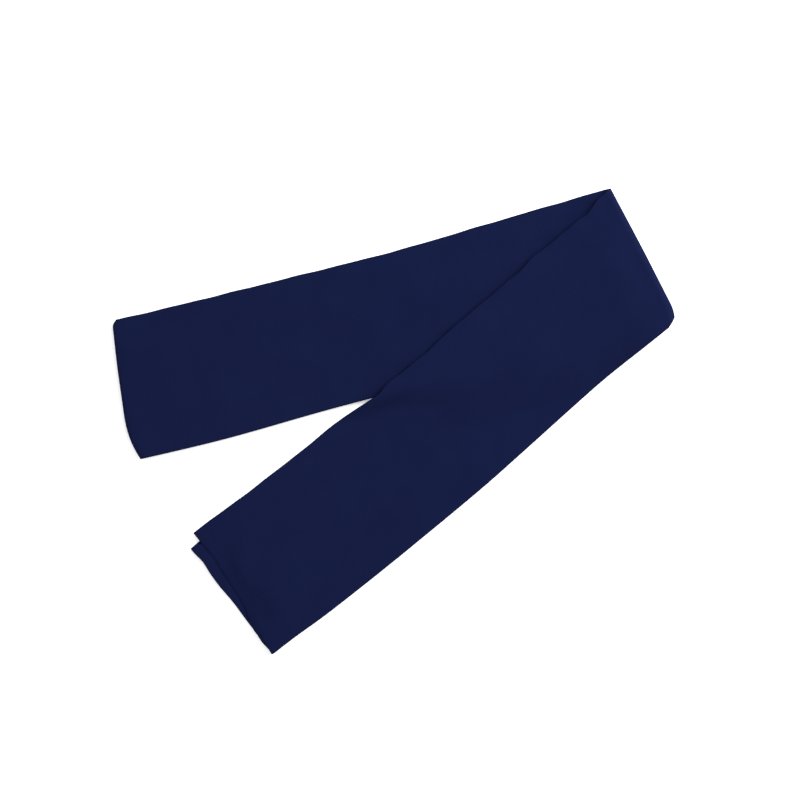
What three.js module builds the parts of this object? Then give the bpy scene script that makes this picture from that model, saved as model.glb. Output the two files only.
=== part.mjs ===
// A plain navy scarf, lying folded on a flat surface. Millimetres, +Z up, the origin at the middle of its
// underside.
//
// The cloth is one long rectangle. It is folded in half along its length into a band two layers thick. The
// band is folded in half across, which leaves a loop at one end and the two cloth ends at the other. This
// double band is folded over once more at a slant, so that a lower arm lies across the upper arm in a V.
//
// The cloth's middle surface is a grid. A row runs across the cloth from one long edge to the other, and the
// rows follow each other along the cloth. Each arm holds four layers, numbered from the surface that it lies
// on: the upper arm has layers 0 to 3 and the lower arm, on top of it, layers 4 to 7.

import * as THREE from 'three';

// Cloth
const WALL = 1.0; // one layer
const AIR = 0.45; // between two layers that lie on each other
const ARM_AIR = 0.5; // more air where the lower arm lies on the upper one
const PITCH = WALL + AIR;
const INNER_SIDE_SHORT = 2.5; // how far the band's inner side stops short at the open edge
const HEM_DEPTH = 12; // hem at the cloth's two short ends, turned to the inner side
const HEM_WALL = 1.35;
const COLOUR = 0x171f44;
const ROUGHNESS = 0.95;

// Sections across each arm, in plan. A row gives the points where one section meets the arm's two long
// edges: the open edge, where the cloth's two sides end, and the folded edge.
const UPPER_ARM_SECTIONS = [
  { openX: 185.7, openY: 199.8, foldX: 244.0, foldY: 87.5 }, // slanted fold
  { openX: 157.2, openY: 191.6, foldX: 212.4, foldY: 79.2 },
  { openX: 87.4, openY: 171.3, foldX: 135.9, foldY: 59.6 },
  { openX: 2.8, openY: 146.4, foldX: 43.4, foldY: 35.8 },
  { openX: -81.9, openY: 125.0, foldX: -50.5, foldY: 11.5 },
  { openX: -167.0, openY: 103.8, foldX: -144.3, foldY: -15.0 },
  { openX: -241.5, openY: 86.1, foldX: -226.3, foldY: -34.5 }, // loop
];
const LOWER_ARM_SECTIONS = [
  { openX: 185.7, openY: 199.8, foldX: 244.0, foldY: 87.5 }, // slanted fold
  { openX: 154.8, openY: 170.3, foldX: 211.9, foldY: 61.8 },
  { openX: 121.9, openY: 142.0, foldX: 180.3, foldY: 36.3 },
  { openX: 86.8, openY: 110.9, foldX: 146.6, foldY: 6.4 },
  { openX: 50.6, openY: 79.9, foldX: 113.2, foldY: -23.8 },
  { openX: 15.0, openY: 48.9, foldX: 79.5, foldY: -53.8 },
  { openX: -17.4, openY: 21.0, foldX: 48.5, foldY: -79.9 },
  { openX: -45.1, openY: 2.4, foldX: 24.1, foldY: -100.0 },
  { openX: -70.9, openY: -18.4, foldX: -0.3, foldY: -120.0 },
  { openX: -104.4, openY: -44.8, foldX: -32.0, foldY: -145.3 },
  { openX: -134.5, openY: -67.7, foldX: -60.5, foldY: -167.3 },
  { openX: -159.4, openY: -85.9, foldX: -84.3, foldY: -184.4 },
  { openX: -180.2, openY: -101.7, foldX: -104.0, foldY: -199.6 }, // free ends
];
const ARM_LENGTH = 459; // of both arms, along the middle

// The four runs of the band, with how far each is set back from the arm's outline. Sides are given at the
// slanted fold, half way and at the other end. The end of a run is given at the folded edge, in the middle
// and at the open edge.
const LOWER_TOP = { foldSide: [0, 0.4, 0.4], openSide: [0, 0, 0], endBack: [0, 9, 10.5] };
const UPPER_FLOOR = { foldSide: [0, 1.2, 0], openSide: [0, 1.2, 0] };
const UPPER_TOP = { foldSide: [0, 0, 0], openSide: [0, 0, 0] };
const LOWER_UNDER = { foldSide: [0, 0.8, 0], openSide: [0, 0.5, 9.5], endBack: [0, 0.9, 0.5] };
const INSET_REACH = 3; // an inset moves the cloth over this many times its own depth

// Rounded corners and bowed edges, in plan. A bow stands out most at `at` from the folded edge.
const SLANT_CORNER = { back: 3.9, reach: 15, power: 2 }; // at the folded edge
const LOOP_CORNER = { back: 9, reach: 42, power: 2.2 }; // at the folded edge
const LOOP_TOP_CORNER = { back: 4, reach: 6, power: 2 }; // at the open edge
const SLANT_BOW = { out: 0.6, at: 64, width: 45 };
const LOOP_BOW = { out: 0.6, at: 82, width: 28 };

// Loose folds stand higher than the layers between them. A swell is a share of the pitch, whole up to `from`
// millimetres from the fold and gone at `to`.
// `airAtFold` is air in millimetres between the arms.
const SLANT_SWELL = { atOpen: 0.06, atFold: 0.22, airAtFold: 1.8, from: 12, to: 55 };
const LOOP_SWELL = { share: 0.25, from: 8, to: 36 };
const LONG_FOLD_SWELL = { share: 0.12, from: 3, to: 20 };
const END_SWELL = { share: 0.3, from: 14, to: 36 };

// Hollows and ridges of the lower arm: `along` is the distance from the slanted fold and `across` from the
// folded edge, with half sizes `length` and `width`, and `share` is a share of the pitch.
const LOWER_ARM_RELIEF = [
  { along: 290, across: 9, length: 75, width: 9, share: 0.16 }, // ridge by the folded edge
  { along: 290, across: 27, length: 75, width: 10, share: -0.1 }, // valley beside it
  { along: 423, across: 58, length: 9, width: 32, share: -0.14 }, // dent behind the hem
  { along: 32, across: 42, length: 13, width: 18, share: -0.1 }, // hollow behind the slanted fold
];

// Beside the upper arm's folded edge the lower arm comes down to the surface.
const DRAPE = { from: 6, to: 44 };

// Grid
const LOWER_ROW_SHARES = [
  0.015, 0.04, 0.075, 0.12, 0.17, 0.22, 0.275, 0.33, 0.385, 0.44, 0.495, 0.55, 0.61, 0.67, 0.73, 0.79, 0.85,
  0.9, 0.94,
];
const UPPER_ROW_SHARES = [0.015, 0.04, 0.08, 0.14, 0.25, 0.37, 0.5, 0.63, 0.76, 0.87, 0.93, 0.965, 0.985];
const ACROSS_SHARES = [0, 0.027, 0.07, 0.13, 0.21, 0.31, 0.42, 0.54, 0.66, 0.79, 0.91, 0.96, 0.985, 1];
const HEM_STEP = 1; // length over which the wall grows to the hem's
const ROLL_STEPS = 4; // facets round the long fold
const TURN_STEPS = 6; // facets round a fold across the band
const MOST_MITRE = 1.15; // how much longer than the half wall the step to the surface gets at a bend
const FLOOR_TOUCH = 0.06; // what comes this near the surface lies on it

const clamp01 = (x) => Math.min(1, Math.max(0, x));
const ease = (x) => clamp01(x) ** 2 * (3 - 2 * clamp01(x));
const mix = (a, b, share) => a + (b - a) * share;

/** 1 up to `from`, 0 beyond `to`, and smooth between them. */
const fade = (distance, { from, to }) => 1 - ease((distance - from) / (to - from));

/** The parabola through a value at 0, at one half and at 1. */
const throughThree = ([start, middle, end], share) =>
  start * (2 * share - 1) * (share - 1) + 4 * middle * share * (1 - share) + end * share * (2 * share - 1);

/** How far a rounded corner is cut back, at a distance from it. */
const cornerCut = ({ back, reach, power }, distance) => back * (1 - clamp01(distance / reach)) ** power;

/** How far a bowed edge is back from its furthest point, at a distance across from the folded edge. */
const bowCut = ({ out, at, width }, across) => out * (1 - Math.exp(-(((across - at) / width) ** 2)));

/** An arm's two long edges as curves that start at the slanted fold. */
function armOf(sections) {
  const points = (x, y) => sections.map((row) => new THREE.Vector2(row[x], row[y]));
  return {
    open: new THREE.SplineCurve(points('openX', 'openY')),
    fold: new THREE.SplineCurve(points('foldX', 'foldY')),
  };
}

const UPPER = armOf(UPPER_ARM_SECTIONS);
const LOWER = armOf(LOWER_ARM_SECTIONS);

/** An arm's section at a distance along it from the slanted fold. */
function sectionOf(arm, along) {
  const share = clamp01(along / ARM_LENGTH);
  const fold = arm.fold.getPointAt(share);
  const open = arm.open.getPointAt(share);
  return { fold, open, width: fold.distanceTo(open) };
}

/** The point in plan at a distance along an arm and a distance across it from the folded edge. */
function planPoint(arm, along, across) {
  const { fold, open, width } = sectionOf(arm, along);
  return fold.lerp(open, across / width);
}

const BAND_WIDTH = sectionOf(UPPER, ARM_LENGTH).width;

/** How much more than its plain pitch the stack stands near the slanted fold and near the long fold. */
const foldSwell = (along, across) =>
  mix(SLANT_SWELL.atFold, SLANT_SWELL.atOpen, clamp01(across / BAND_WIDTH)) * fade(along, SLANT_SWELL) +
  LONG_FOLD_SWELL.share * fade(across, LONG_FOLD_SWELL);

/** The pitch of the layers at a place in the upper arm. */
const upperPitch = (along, across) =>
  PITCH * (1 + foldSwell(along, across) + LOOP_SWELL.share * fade(ARM_LENGTH - along, LOOP_SWELL));

/** The pitch of the layers at a place in the lower arm. */
function lowerPitch(along, across) {
  let share = foldSwell(along, across) + END_SWELL.share * fade(ARM_LENGTH - along, END_SWELL);
  for (const relief of LOWER_ARM_RELIEF) {
    const ahead = (along - relief.along) / relief.length;
    const aside = (across - relief.across) / relief.width;
    share += relief.share * Math.exp(-(ahead ** 2) - aside ** 2);
  }
  return PITCH * (1 + share);
}

/** The air between the arms, which the slanted fold holds open at its corner. */
const armAir = (along, across) =>
  ARM_AIR + SLANT_SWELL.airAtFold * (1 - clamp01(across / BAND_WIDTH)) * fade(along, SLANT_SWELL);

// The upper arm's folded edge runs straight under the lower arm.
const HIDDEN_EDGE_END = new THREE.Vector2(UPPER_ARM_SECTIONS[0].foldX, UPPER_ARM_SECTIONS[0].foldY);
const HIDDEN_EDGE_START = new THREE.Vector2(UPPER_ARM_SECTIONS[3].foldX, UPPER_ARM_SECTIONS[3].foldY);
const HIDDEN_EDGE_DIRECTION = HIDDEN_EDGE_END.clone().sub(HIDDEN_EDGE_START).normalize();

/** How high the upper arm, or the slope beside it, lifts the lower arm. */
function liftOfLowerArm(along, point) {
  const inside = HIDDEN_EDGE_DIRECTION.cross(point.clone().sub(HIDDEN_EDGE_START));
  const onUpper = Math.max(0, inside);
  return (4 * upperPitch(along, onUpper) + armAir(along, onUpper)) * fade(-inside, DRAPE);
}

/** The height of a layer's middle surface. A layer between two whole numbers is a part of the long fold. */
function layerHeight(arm, along, across, point, layer) {
  if (arm === UPPER) return WALL / 2 + layer * upperPitch(along, across);
  return WALL / 2 + liftOfLowerArm(along, point) + (layer - 4) * lowerPitch(along, across);
}

// Where the half turns of the two folds have their centres, at a distance across from the folded edge
const slantReach = (across) => 3.5 * upperPitch(0, across) + (armAir(0, across) + WALL) / 2;
const slantCentre = (across) =>
  cornerCut(SLANT_CORNER, across) + bowCut(SLANT_BOW, across) + slantReach(across);
const loopReach = (across) => 1.5 * upperPitch(ARM_LENGTH, across) + WALL / 2;
const loopCentre = (across) =>
  ARM_LENGTH -
  cornerCut(LOOP_CORNER, across) -
  cornerCut(LOOP_TOP_CORNER, BAND_WIDTH - across) -
  bowCut(LOOP_BOW, across) -
  loopReach(across);

// One column for each step across the cloth, from the open edge of the band's outer side round the long fold
// to that of its inner side: `flat` runs from 0 at the fold to 1 at the open edge, and `roll` is the angle
// round the fold.
const COLUMNS = [
  ...ACROSS_SHARES.map((flat) => ({ flat, roll: Math.PI / 2 })).reverse(),
  ...Array.from({ length: ROLL_STEPS - 1 }, (_, k) => ({
    flat: 0,
    roll: Math.PI * (1 / 2 - (k + 1) / ROLL_STEPS),
  })),
  ...ACROSS_SHARES.map((flat) => ({ flat, roll: -Math.PI / 2 })),
];

/** How far an inset at an edge moves the cloth, at a distance from that edge. */
const insetShift = (inset, distance) =>
  inset * fade(distance, { from: 0, to: INSET_REACH * Math.max(inset, WALL) });

/**
 * A column's distance across the arm from its folded edge, and its `seat`, which is that of the nearest flat
 * column. Away from the edges they are the same in all layers, so that these lie on each other.
 */
function placeAcross(run, along, width, column, pitch, cornerInset) {
  const share = clamp01(along / ARM_LENGTH);
  const foldInset = throughThree(run.foldSide, share) + cornerInset;
  const openInset = throughThree(run.openSide, share) + (column.roll < 0 ? INNER_SIDE_SHORT : 0);
  const plain = mix((WALL + pitch) / 2, width, column.flat);
  const seat = plain + insetShift(foldInset, plain) - insetShift(openInset, width - plain);
  return { seat, across: seat - (pitch / 2) * Math.cos(column.roll) };
}

/**
 * A row of a run that lies flat. `layer` is the run's middle layer, and `facing` is 1 where its outer side
 * looks up and -1 where it looks down. `alongAt` gives the row's distance along the arm, by that across it.
 */
function flatRow(arm, run, layer, facing, alongAt, hem = false) {
  const along = alongAt(BAND_WIDTH / 2);
  const { width } = sectionOf(arm, along);
  const pitch = (arm === UPPER ? upperPitch : lowerPitch)(along, 0);
  const place = (column) => {
    const { seat, across } = placeAcross(run, along, width, column, pitch, 0);
    const here = alongAt(seat);
    const point = planPoint(arm, here, across);
    const height = layerHeight(arm, here, seat, point, layer + (facing * Math.sin(column.roll)) / 2);
    return new THREE.Vector3(point.x, point.y, height);
  };
  return { place, hem };
}

/** The rows of a run between the slanted fold and the loop or the free end. */
function flatRows(arm, run, layer, facing) {
  const shares = arm === UPPER ? UPPER_ROW_SHARES : LOWER_ROW_SHARES;
  const farEnd = (across) => (arm === UPPER ? loopCentre(across) : ARM_LENGTH);
  const rows = shares.map((share) =>
    flatRow(arm, run, layer, facing, (across) => mix(slantCentre(across), farEnd(across), share)),
  );
  if (arm === LOWER) {
    const endAt = (across) => ARM_LENGTH - throughThree(run.endBack, clamp01(across / BAND_WIDTH));
    const hemRow = (back, hem) =>
      flatRow(arm, run, layer, facing, (across) => endAt(across) - back, hem);
    rows.push(hemRow(HEM_DEPTH + HEM_STEP, false), hemRow(HEM_DEPTH, true), hemRow(HEM_DEPTH / 2, true));
    rows.push(hemRow(0, true));
  }
  return rows;
}

/** The angles of a half turn, from below to above. */
const TURN_ANGLES = Array.from({ length: TURN_STEPS + 1 }, (_, k) => Math.PI * (k / TURN_STEPS - 1 / 2));

/**
 * The rows of the slanted fold, which turns about the middle of the eight layers. `ring` is the turn's
 * middle radius in pitches, and `facing` is 1 where the band's outer side looks out of the turn.
 */
function slantRows(run, ring, facing) {
  const flatPitch = upperPitch(0, 0);
  return TURN_ANGLES.map((angle) => ({
    place: (column) => {
      const turn = ring + (facing * Math.sin(column.roll)) / 2;
      const plainRadius = ring * flatPitch + armAir(0, 0) / 2;
      const corner = cornerCut(SLANT_CORNER, slantReach(0) - plainRadius * Math.cos(angle));
      const { width } = sectionOf(LOWER, 0);
      const { seat, across } = placeAcross(run, 0, width, column, flatPitch, corner);
      const pitch = upperPitch(0, seat);
      const air = armAir(0, seat);
      const radius = turn * pitch + air / 2;
      const along = slantCentre(seat) - radius * Math.cos(angle);
      const point = planPoint(UPPER, along, across);
      point.lerp(planPoint(LOWER, along, across), (1 + Math.sin(angle)) / 2);
      const middle = WALL / 2 + 3.5 * pitch + air / 2;
      return new THREE.Vector3(point.x, point.y, middle + radius * Math.sin(angle));
    },
    hem: false,
  }));
}

/** The rows of the loop, which turns about the middle of the upper arm's four layers. */
function loopRows(run) {
  const flatPitch = upperPitch(ARM_LENGTH, 0);
  return TURN_ANGLES.map((angle) => ({
    place: (column) => {
      const { seat, across } = placeAcross(run, ARM_LENGTH, BAND_WIDTH, column, flatPitch, 0);
      const pitch = upperPitch(ARM_LENGTH, seat);
      const radius = (1 + Math.sin(column.roll) / 2) * pitch;
      const point = planPoint(UPPER, loopCentre(seat) + radius * Math.cos(angle), across);
      return new THREE.Vector3(point.x, point.y, WALL / 2 + 1.5 * pitch + radius * Math.sin(angle));
    },
    hem: false,
  }));
}

/** All rows of the cloth, from its end on top of the lower arm to its end below that. */
function clothRows() {
  return [
    ...flatRows(LOWER, LOWER_TOP, 6.5, 1).reverse(),
    ...slantRows(UPPER_FLOOR, 3, 1).reverse(),
    ...flatRows(UPPER, UPPER_FLOOR, 0.5, -1),
    ...loopRows(UPPER_TOP),
    ...flatRows(UPPER, UPPER_TOP, 2.5, 1).reverse(),
    ...slantRows(UPPER_TOP, 1, -1),
    ...flatRows(LOWER, LOWER_UNDER, 4.5, -1),
  ];
}

/** The direction out of the cloth's outer side, long enough to keep the wall full at a bend. */
function outwardAt(grid, i, j) {
  const normals = [];
  for (const row of [i - 1, i]) {
    for (const column of [j - 1, j]) {
      const corners = [grid[row]?.[column], grid[row + 1]?.[column], grid[row]?.[column + 1]];
      const far = grid[row + 1]?.[column + 1];
      if (corners.includes(undefined) || !far) continue;
      const [near, next, side] = corners;
      normals.push(side.clone().sub(next).cross(far.clone().sub(near)).normalize());
    }
  }
  const mean = new THREE.Vector3();
  for (const normal of normals) mean.add(normal);
  const longEnough = normals.length / mean.length();
  return mean.normalize().multiplyScalar(Math.min(longEnough, MOST_MITRE));
}

/** How nearly a line runs along the hidden edge. Cells are halved that way, so all layers bend alike. */
function alongHiddenEdge(from, to) {
  const line = new THREE.Vector2(to.x - from.x, to.y - from.y).normalize();
  return Math.abs(line.dot(HIDDEN_EDGE_DIRECTION));
}

/** The cloth as a closed surface: its outer side, its inner side and the narrow wall round its edges. */
function clothGeometry() {
  const rows = clothRows();
  const grid = rows.map((row) => COLUMNS.map((column) => row.place(column)));
  const lastRow = rows.length - 1;
  const lastColumn = COLUMNS.length - 1;
  const positions = [];
  const outer = [];
  const inner = [];
  grid.forEach((points, i) => {
    const innerWall = rows[i].hem ? HEM_WALL - WALL / 2 : WALL / 2;
    outer.push([]);
    inner.push([]);
    points.forEach((point, j) => {
      const outward = outwardAt(grid, i, j);
      for (const [side, wall] of [
        [outer[i], WALL / 2],
        [inner[i], -innerWall],
      ]) {
        const surface = point.clone().addScaledVector(outward, wall);
        side.push(positions.length / 3);
        positions.push(surface.x, surface.y, surface.z < FLOOR_TOUCH ? 0 : surface.z);
      }
    });
  });

  const index = [];
  const quad = (a, b, c, d) => index.push(a, b, c, a, c, d);
  for (let i = 0; i < lastRow; i++) {
    for (let j = 0; j < lastColumn; j++) {
      const forward = alongHiddenEdge(grid[i][j], grid[i + 1][j + 1]);
      const turned = forward < alongHiddenEdge(grid[i][j + 1], grid[i + 1][j]);
      const onOuter = [outer[i][j], outer[i][j + 1], outer[i + 1][j + 1], outer[i + 1][j]];
      const onInner = [inner[i][j], inner[i + 1][j], inner[i + 1][j + 1], inner[i][j + 1]];
      for (const corners of [onOuter, onInner]) {
        if (turned) corners.push(corners.shift());
        quad(...corners);
      }
    }
  }
  const rim = [];
  for (let i = 0; i < lastRow; i++) rim.push([i, 0]);
  for (let j = 0; j < lastColumn; j++) rim.push([lastRow, j]);
  for (let i = lastRow; i > 0; i--) rim.push([i, lastColumn]);
  for (let j = lastColumn; j > 0; j--) rim.push([0, j]);
  rim.forEach(([i, j], k) => {
    const [nextI, nextJ] = rim[(k + 1) % rim.length];
    quad(outer[i][j], outer[nextI][nextJ], inner[nextI][nextJ], inner[i][j]);
  });

  const geometry = new THREE.BufferGeometry();
  geometry.setAttribute('position', new THREE.Float32BufferAttribute(positions, 3));
  geometry.setIndex(index);
  geometry.computeBoundingBox();
  const box = geometry.boundingBox;
  geometry.translate(-(box.min.x + box.max.x) / 2, -(box.min.y + box.max.y) / 2, -box.min.z);
  geometry.computeVertexNormals();
  return geometry;
}

const cloth = new THREE.Mesh(
  clothGeometry(),
  new THREE.MeshStandardMaterial({ color: COLOUR, roughness: ROUGHNESS, metalness: 0 }),
);
cloth.name = 'scarf_cloth';

const scarf = new THREE.Group();
scarf.name = 'scarf';
scarf.add(cloth);

export default scarf;
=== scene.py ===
"""A plain navy scarf that lies folded on a pale floor, seen from above.

The cloth is one long rectangle. It is folded in half along its length into a band, the band is folded in
half across, and this double band is folded over once more at a slant, so that a lower arm lies across the
upper arm. All sizes are in millimetres until a mesh is made, and heights are measured from the floor.
"""

import logging
import math
from dataclasses import dataclass
from enum import Enum
from typing import Callable

import bpy
import numpy as np
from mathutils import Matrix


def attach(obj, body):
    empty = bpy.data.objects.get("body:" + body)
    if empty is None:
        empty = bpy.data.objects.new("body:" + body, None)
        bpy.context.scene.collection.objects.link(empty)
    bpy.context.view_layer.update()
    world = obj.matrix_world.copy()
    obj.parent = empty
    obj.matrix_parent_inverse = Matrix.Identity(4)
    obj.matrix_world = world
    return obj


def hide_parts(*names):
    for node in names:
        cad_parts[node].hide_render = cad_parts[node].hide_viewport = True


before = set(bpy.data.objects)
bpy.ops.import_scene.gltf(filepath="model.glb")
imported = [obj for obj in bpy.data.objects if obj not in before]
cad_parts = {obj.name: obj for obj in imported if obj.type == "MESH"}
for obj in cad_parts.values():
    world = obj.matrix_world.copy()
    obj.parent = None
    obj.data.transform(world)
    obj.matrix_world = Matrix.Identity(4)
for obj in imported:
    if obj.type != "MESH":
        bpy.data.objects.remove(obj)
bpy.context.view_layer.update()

Array = np.ndarray
MM = 0.001
LOG = logging.getLogger("scarf")


class Side(Enum):
    """The way that a run's outer side looks."""

    UP = 1
    DOWN = -1


class Place(Enum):
    """The arm that a run belongs to."""

    UPPER = "upper"
    LOWER = "lower"


def clamp(x: Array | float) -> Array:
    """Limit values to the range from 0 to 1."""
    return np.clip(x, 0.0, 1.0)


def ease(x: Array | float) -> Array:
    """Go smoothly from 0 at 0 to 1 at 1: three squares less two cubes."""
    return clamp(x) ** 2 * (3 - 2 * clamp(x))


def mix(a: Array | float, b: Array | float, share: Array | float) -> Array:
    """Blend two values, a at share 0 and b at share 1."""
    return a + (b - a) * share


def rise(x: Array | float, start: float, end: float) -> Array:
    """Go smoothly from 0 up to `start` to 1 beyond `end`."""
    return ease((x - start) / (end - start))


def fade(x: Array | float, start: float, end: float) -> Array:
    """Go smoothly from 1 up to `start` to 0 beyond `end`."""
    return 1 - rise(x, start, end)


def bell(x: Array, at: float, reach: float) -> Array:
    """A bell of height 1: e to the minus square of the distance from its place over its reach."""
    return np.exp(-(((x - at) / reach) ** 2))


def through_three(values: tuple[float, float, float], share: Array | float) -> Array:
    """The parabola through three values.

    Args:
        values: The values at 0, at one half and at 1.
        share: Where it is read.

    Returns:
        The parabola's value there.
    """
    start, middle, end = values
    return (
        start * (2 * share - 1) * (share - 1)
        + 4 * middle * share * (1 - share)
        + end * share * (2 * share - 1)
    )


def linear(code: str) -> tuple[float, float, float, float]:
    """Turn a colour to linear light.

    Args:
        code: The sRGB colour as a hex code.

    Returns:
        Linear red, green and blue, and alpha.
    """
    parts = [int(code.lstrip("#")[k : k + 2], 16) / 255 for k in (0, 2, 4)]
    made = [c / 12.92 if c <= 0.04045 else ((c + 0.055) / 1.055) ** 2.4 for c in parts]
    return (made[0], made[1], made[2], 1.0)


@dataclass(frozen=True)
class Section:
    """Where a section across an arm meets the arm's open edge and its folded edge, in plan."""

    open_x: float
    open_y: float
    fold_x: float
    fold_y: float


UPPER_ARM = (
    Section(185.7, 199.8, 244.0, 87.5),  # slanted fold
    Section(157.2, 191.6, 212.4, 79.2),
    Section(87.4, 171.3, 135.9, 59.6),
    Section(2.8, 146.4, 43.4, 35.8),
    Section(-81.9, 125.0, -50.5, 11.5),
    Section(-167.0, 103.8, -144.3, -15.0),
    Section(-241.5, 86.1, -226.3, -34.5),  # loop
)
LOWER_ARM = (
    Section(185.7, 199.8, 244.0, 87.5),  # slanted fold
    Section(154.8, 170.3, 211.9, 61.8),
    Section(121.9, 142.0, 180.3, 36.3),
    Section(86.8, 110.9, 146.6, 6.4),
    Section(50.6, 79.9, 113.2, -23.8),
    Section(15.0, 48.9, 79.5, -53.8),
    Section(-17.4, 21.0, 48.5, -79.9),
    Section(-45.1, 2.4, 24.1, -100.0),
    Section(-70.9, -18.4, -0.3, -120.0),
    Section(-104.4, -44.8, -32.0, -145.3),
    Section(-134.5, -67.7, -60.5, -167.3),
    Section(-159.4, -85.9, -84.3, -184.4),
    Section(-180.2, -101.7, -104.0, -199.6),  # free ends
)
HIDDEN_EDGE_FROM = 3  # the section from which the upper arm's folded edge runs under the lower arm

# Distances in mm from a free end to the rows near it, closest together at the hem's groove and at the end.
HEM_ROWS = np.array(
    [34, 30.5, 27, 23.5, 20, 17, 14.8, 13.4, 12.6, 12, 11.4, 10.9, 10.5, 10.2, 9.9, 9.5, 9]
    + [8, 6.5, 5, 3.5, 2.2, 1.2, 0.5, 0]
)[:, None]


@dataclass(frozen=True)
class Corner:
    """A rounded corner: how far it is cut back, over what distance, and how suddenly."""

    back: float
    reach: float
    power: float

    def cut(self, distance: Array | float) -> Array:
        """How far the outline is cut back, at a distance from the corner."""
        return self.back * (1 - clamp(distance / self.reach)) ** self.power


@dataclass(frozen=True)
class Bow:
    """An edge that is bowed outwards, most at one place across the band."""

    out: float
    at: float
    width: float

    def cut(self, across: Array) -> Array:
        """How far the edge is back from its furthest point: the depth less a bell."""
        return self.out * (1 - bell(across, self.at, self.width))


@dataclass(frozen=True)
class EdgeWave:
    """One of an edge's small ins and outs: a bell in how far it is set back."""

    at: float
    reach: float
    inset: float

    def inset_at(self, place: Array) -> Array:
        """The inset at a place along the edge."""
        return self.inset * bell(place, self.at, self.reach)


@dataclass(frozen=True)
class Swell:
    """Loose folds stand higher than the layers between them, by a share of the pitch."""

    at_fold: float
    at_open: float
    start: float
    end: float

    def share(self, distance: Array, across: Array | float, width: float) -> Array:
        """The share that is added at a distance from the fold and across the band."""
        blend = mix(self.at_fold, self.at_open, clamp(across / width))
        return blend * fade(distance, self.start, self.end)


@dataclass(frozen=True)
class Relief:
    """A hollow or a ridge: a bell in the pitch of the layers, about one place of an arm."""

    along: float
    across: float
    length: float
    width: float
    share: float
    turn: float = 0.0

    def at(self, along: Array, across: Array) -> Array:
        """The bell at some places, by their distance from its middle in its own length and width.

        Args:
            along: Distances along the arm.
            across: Distances across it.

        Returns:
            The change as a share of the pitch.
        """
        cos, sin = math.cos(math.radians(self.turn)), math.sin(math.radians(self.turn))
        ahead, aside = along - self.along, across - self.across
        far = ((ahead * cos + aside * sin) / self.length) ** 2
        far = far + ((aside * cos - ahead * sin) / self.width) ** 2
        return self.share * np.exp(-far)


@dataclass(frozen=True)
class EndStep:
    """A slope down to the free ends, where the layers are pressed together, on a line askew over the band."""

    at_fold: float
    at_open: float
    length: float
    share: float
    first: float
    last: float

    def at(self, along: Array, across: Array, width: float) -> Array:
        """The change, which sets in over the slope and dies out at both edges of the band.

        Args:
            along: Distances along the arm.
            across: Distances across it.
            width: The width of the band.

        Returns:
            The change as a share of the pitch.
        """
        line = mix(self.at_fold, self.at_open, across / width)
        down = ease((along - line) / self.length + 0.5)
        return self.share * down * ease(across / self.first) * ease((width - across) / self.last)


@dataclass(frozen=True)
class Ripple:
    """A long shallow wave of an arm's layers, as a share of their pitch."""

    length: float
    heading: float
    phase: float
    share: float

    def at(self, along: Array, across: Array) -> Array:
        """A sine of the distance in the wave's heading.

        Args:
            along: Distances along the arm.
            across: Distances across it.

        Returns:
            The change as a share of the pitch.
        """
        angle = math.radians(self.heading)
        way = along * math.cos(angle) + across * math.sin(angle)
        return self.share * np.sin(2 * math.pi * way / self.length + self.phase)


@dataclass(frozen=True)
class Run:
    """One of the four runs of the band, with how far it is set back from the arm's outline.

    The three values of a side are those at the slanted fold, half way and at the far end, and those of an end
    are at the folded edge, half way and at the open edge.
    """

    place: Place
    layer: float
    side: Side
    fold_side: tuple[float, float, float] = (0.0, 0.0, 0.0)
    open_side: tuple[float, float, float] = (0.0, 0.0, 0.0)
    end_back: tuple[float, float, float] = (0.0, 0.0, 0.0)
    side_waves: tuple[EdgeWave, ...] = ()
    end_waves: tuple[EdgeWave, ...] = ()
    flutter: float = 0.0


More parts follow.
